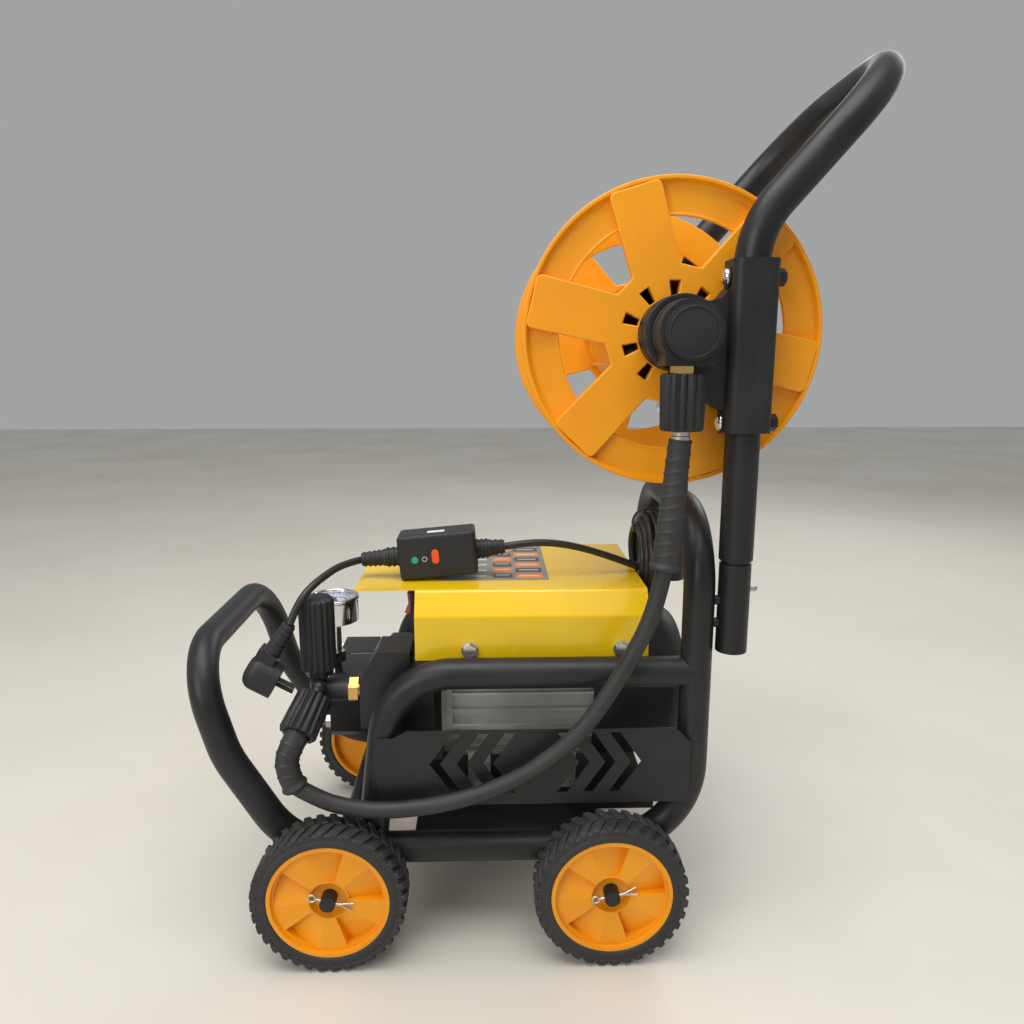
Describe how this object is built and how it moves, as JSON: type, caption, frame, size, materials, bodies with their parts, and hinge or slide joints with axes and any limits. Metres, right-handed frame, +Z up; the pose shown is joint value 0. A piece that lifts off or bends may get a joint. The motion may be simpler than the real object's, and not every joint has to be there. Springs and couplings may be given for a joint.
{
  "type": "pressure washer",
  "caption": "Wheeled electric pressure washer: tube frame with push handle, motor and pump under a sheet cover, gauge, link hose and an empty hose reel with crank.",
  "frame": {"origin": "middle of the base on the floor, without the free cords", "axes": "+X towards the handle, +Y away from the switch side, +Z up"},
  "size_m": [0.73, 0.4186, 0.921],
  "materials": {
    "frame_black": "satin powder coat",
    "cover_yellow": "gloss paint",
    "rim_yellow": "moulded, satin gloss",
    "tyre_rubber": "moulded rubber",
    "hose_rubber": "smooth rubber",
    "cord_rubber": "smooth sheath",
    "black_plastic": "fine grain",
    "cast_black": "satin paint on a casting",
    "motor_aluminium": "as cast",
    "brass": "turned",
    "zinc_steel": "zinc plated",
    "plain_steel": "ground",
    "copper_winding": "enamelled wire in a laminated core",
    "chrome": "bright",
    "lens": "clear",
    "needle": "painted",
    "rocker_red": "under a clear boot",
    "test_green": "smooth",
    "reset_orange": "smooth"
  },
  "bodies": {
    "frame": {"wheel_axles": "frame_black", "split_pins": "zinc_steel", "rear_loop_tube": "frame_black", "front_loop_tube": "frame_black", "side_rails": "frame_black", "side_panels": "frame_black", "undercarriage": "frame_black", "handle_sockets": "frame_black", "push_handle": "frame_black", "reel_brackets": "black_plastic", "bracket_clamps": "black_plastic", "swivel_elbow": "black_plastic", "bolts_and_nuts": "zinc_steel", "motor_housing": "motor_aluminium", "motor_end_bells": "motor_aluminium", "shaft_bearings": "plain_steel", "fan_cover": "black_plastic", "stator_core": "copper_winding", "pump_crankcase": "cast_black", "pump_head": "cast_black", "pump_plungers": "plain_steel", "gauge_case": "chrome", "gauge_lens": "lens", "unloader_body": "cast_black", "brass_fittings": "brass", "motor_cover": "cover_yellow", "switch_box": "frame_black", "hose_sleeves": "hose_rubber", "link_hose": "hose_rubber", "rcd_box": "black_plastic", "mains_plug": "black_plastic", "cord_gland": "black_plastic", "cord_hank": "cord_rubber", "cord_plug_lead": "cord_rubber", "cord_lead": "cord_rubber", "cord_tail": "cord_rubber"},
    "front_near_wheel": {"front_near_rim": "rim_yellow", "front_near_tyre": "tyre_rubber"},
    "front_far_wheel": {"front_far_rim": "rim_yellow", "front_far_tyre": "tyre_rubber"},
    "rear_near_wheel": {"rear_near_rim": "rim_yellow", "rear_near_tyre": "tyre_rubber"},
    "rear_far_wheel": {"rear_far_rim": "rim_yellow", "rear_far_tyre": "tyre_rubber"},
    "reel": {"reel_flanges": "rim_yellow", "reel_drum": "rim_yellow", "reel_shaft": "black_plastic", "crank_arm": "black_plastic"},
    "crank_grip": {"crank_knob": "black_plastic"},
    "motor_shaft": {"rotor": "plain_steel", "cooling_fan": "black_plastic"},
    "pressure_knob": {"regulator_knob": "black_plastic"},
    "needle": {"gauge_needle": "needle"},
    "rocker": {"rocker_switch": "rocker_red"},
    "test_button": {"rcd_test_button": "test_green"},
    "reset_button": {"rcd_reset_button": "reset_orange"},
    "near_snap_button": {"snap_button_near": "plain_steel"},
    "far_snap_button": {"snap_button_far": "plain_steel"},
    "pump_collar": {"hose_collar_pump": "black_plastic"},
    "reel_collar": {"hose_collar_reel": "black_plastic"}
  },
  "joints": [
    {"name": "front_near_wheel_spin", "type": "hinge", "parent": "frame", "child": "front_near_wheel", "pos_m": [-0.21, -0.18875, 0.08], "axis": [0, 1, 0], "continuous": true},
    {"name": "front_far_wheel_spin", "type": "hinge", "parent": "frame", "child": "front_far_wheel", "pos_m": [-0.21, 0.15725, 0.08], "axis": [0, 1, 0], "continuous": true},
    {"name": "rear_near_wheel_spin", "type": "hinge", "parent": "frame", "child": "rear_near_wheel", "pos_m": [0.08, -0.18875, 0.08], "axis": [0, 1, 0], "continuous": true},
    {"name": "rear_far_wheel_spin", "type": "hinge", "parent": "frame", "child": "rear_far_wheel", "pos_m": [0.08, 0.15725, 0.08], "axis": [0, 1, 0], "continuous": true},
    {"name": "reel_spin", "type": "hinge", "parent": "frame", "child": "reel", "pos_m": [0.1396, -0.01575, 0.646], "axis": [0, 1, 0], "continuous": true},
    {"name": "crank_grip_spin", "type": "hinge", "parent": "reel", "child": "crank_grip", "pos_m": [0.08449, 0.17225, 0.73772], "axis": [0, 1, 0], "continuous": true},
    {"name": "motor_spin", "type": "hinge", "parent": "frame", "child": "motor_shaft", "pos_m": [-0.025, -0.01575, 0.24], "axis": [1, 0, 0], "continuous": true},
    {"name": "pressure_turn", "type": "hinge", "parent": "frame", "child": "pressure_knob", "pos_m": [-0.227, -0.11575, 0.337], "axis": [0, 0, 1], "range_deg": [-540, 540]},
    {"name": "needle_turn", "type": "hinge", "parent": "frame", "child": "needle", "pos_m": [-0.218, -0.06775, 0.357], "axis": [0, 0, -1], "range_deg": [0, 270]},
    {"name": "rocker_tip", "type": "hinge", "parent": "frame", "child": "rocker", "pos_m": [-0.124, -0.07575, 0.3575], "axis": [0, 1, 0], "range_deg": [-18, 0]},
    {"name": "test_press", "type": "slide", "parent": "frame", "child": "test_button", "axis": [0, 1, 0], "range_m": [0, 0.0015], "stiffness_N_per_m": 400, "springref_m": -0.002},
    {"name": "reset_press", "type": "slide", "parent": "frame", "child": "reset_button", "axis": [0, 1, 0], "range_m": [0, 0.0015], "stiffness_N_per_m": 400, "springref_m": -0.002},
    {"name": "near_snap_press", "type": "slide", "parent": "frame", "child": "near_snap_button", "axis": [-1, 0, 0], "range_m": [0, 0.007], "stiffness_N_per_m": 900, "springref_m": -0.002},
    {"name": "far_snap_press", "type": "slide", "parent": "frame", "child": "far_snap_button", "axis": [-1, 0, 0], "range_m": [0, 0.007], "stiffness_N_per_m": 900, "springref_m": -0.002},
    {"name": "pump_collar_turn", "type": "hinge", "parent": "frame", "child": "pump_collar", "pos_m": [-0.23341, -0.15457, 0.26268], "axis": [-0.2803, -0.7407, -0.6106], "continuous": true},
    {"name": "reel_collar_turn", "type": "hinge", "parent": "frame", "child": "reel_collar", "pos_m": [0.1366, -0.18375, 0.59], "axis": [0, 0, 1], "continuous": true}
  ]
}
